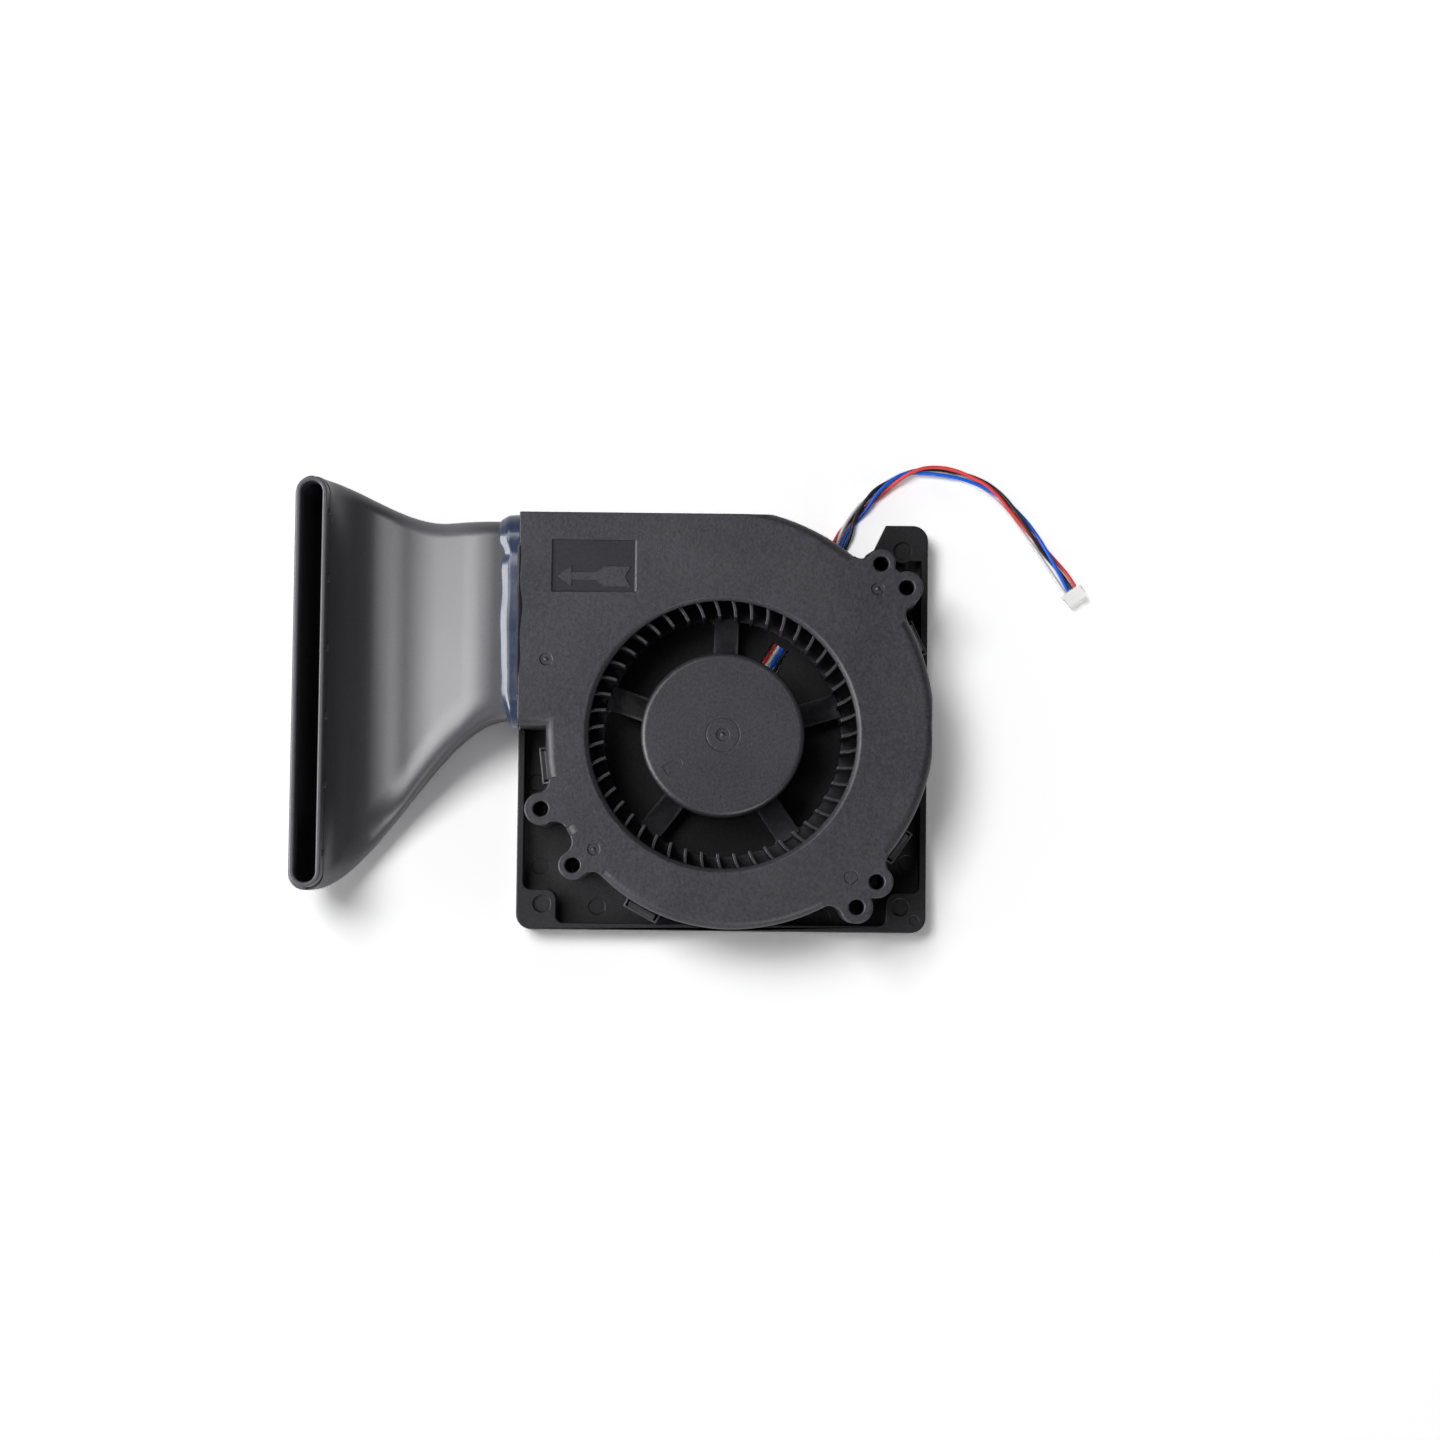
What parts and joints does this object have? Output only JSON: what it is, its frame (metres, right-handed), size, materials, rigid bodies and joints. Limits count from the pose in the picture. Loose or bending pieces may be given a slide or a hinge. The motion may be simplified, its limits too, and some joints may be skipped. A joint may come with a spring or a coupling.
{
  "type": "centrifugal cooling fan",
  "caption": "Flat centrifugal cooling fan with a square base, scroll cover, bladed wheel, fishtail nozzle with an upward slot, loose wires and a small connector.",
  "frame": {"origin": "on the fan axis, on the underside of the base", "axes": "+X away from the nozzle, +Y towards the wire side, +Z out of the air inlet"},
  "size_m": [0.2329, 0.139, 0.032],
  "materials": {
    "tray_plastic": "fine grained dark charcoal",
    "cover_plastic": "fine grained charcoal",
    "impeller_plastic": "satin dark charcoal",
    "nozzle_plastic": "satin charcoal",
    "glue": "glossy slate blue glue",
    "steel": "ground steel",
    "core_steel": "stacked plates",
    "magnet": "bonded magnet",
    "brass": "turned brass",
    "copper": "enamelled copper wire",
    "board": "green circuit board",
    "chip": "moulded chip",
    "capacitor": "drawn can",
    "white_plastic": "white moulded",
    "wire_red": "smooth insulation",
    "wire_white": "smooth insulation",
    "wire_blue": "smooth insulation",
    "wire_black": "smooth insulation"
  },
  "bodies": {
    "housing": {"base_tray": "tray_plastic", "scroll_cover": "cover_plastic", "nozzle_upper_shell": "nozzle_plastic", "nozzle_lower_shell": "nozzle_plastic", "glue_bead": "glue", "bearing_tube": "brass", "upper_bearing_outer": "steel", "lower_bearing_outer": "steel", "stator_core": "core_steel", "upper_insulator": "white_plastic", "lower_insulator": "white_plastic", "stator_coils": "copper", "circuit_board": "board", "hall_sensor": "chip", "driver_chip": "chip", "board_capacitors": "capacitor", "lead_red": "wire_red", "lead_white": "wire_white", "lead_blue": "wire_blue", "lead_black": "wire_black", "wire_red": "wire_red", "wire_white": "wire_white", "wire_blue": "wire_blue", "wire_black": "wire_black", "connector_housing": "white_plastic", "connector_terminals": "brass"},
    "rotor": {"impeller": "impeller_plastic", "rotor_yoke": "steel", "magnet_ring": "magnet", "rotor_shaft": "steel", "shaft_clip": "steel", "preload_spring": "steel", "upper_bearing_inner": "steel", "lower_bearing_inner": "steel"},
    "upper_ball_set": {"upper_bearing_balls": "steel"},
    "lower_ball_set": {"lower_bearing_balls": "steel"}
  },
  "joints": [
    {"name": "impeller_spin", "type": "hinge", "parent": "housing", "child": "rotor", "pos_m": [0, 0, 0], "axis": [0, 0, 1], "continuous": true},
    {"name": "upper_balls_orbit", "type": "hinge", "parent": "housing", "child": "upper_ball_set", "pos_m": [0, 0, 0.0225], "axis": [0, 0, 1], "continuous": true},
    {"name": "lower_balls_orbit", "type": "hinge", "parent": "housing", "child": "lower_ball_set", "pos_m": [0, 0, 0.0062], "axis": [0, 0, 1], "continuous": true}
  ],
  "couplings": [
    {"joint": "upper_balls_orbit", "follows": "impeller_spin", "ratio": 0.393},
    {"joint": "lower_balls_orbit", "follows": "impeller_spin", "ratio": 0.393}
  ]
}
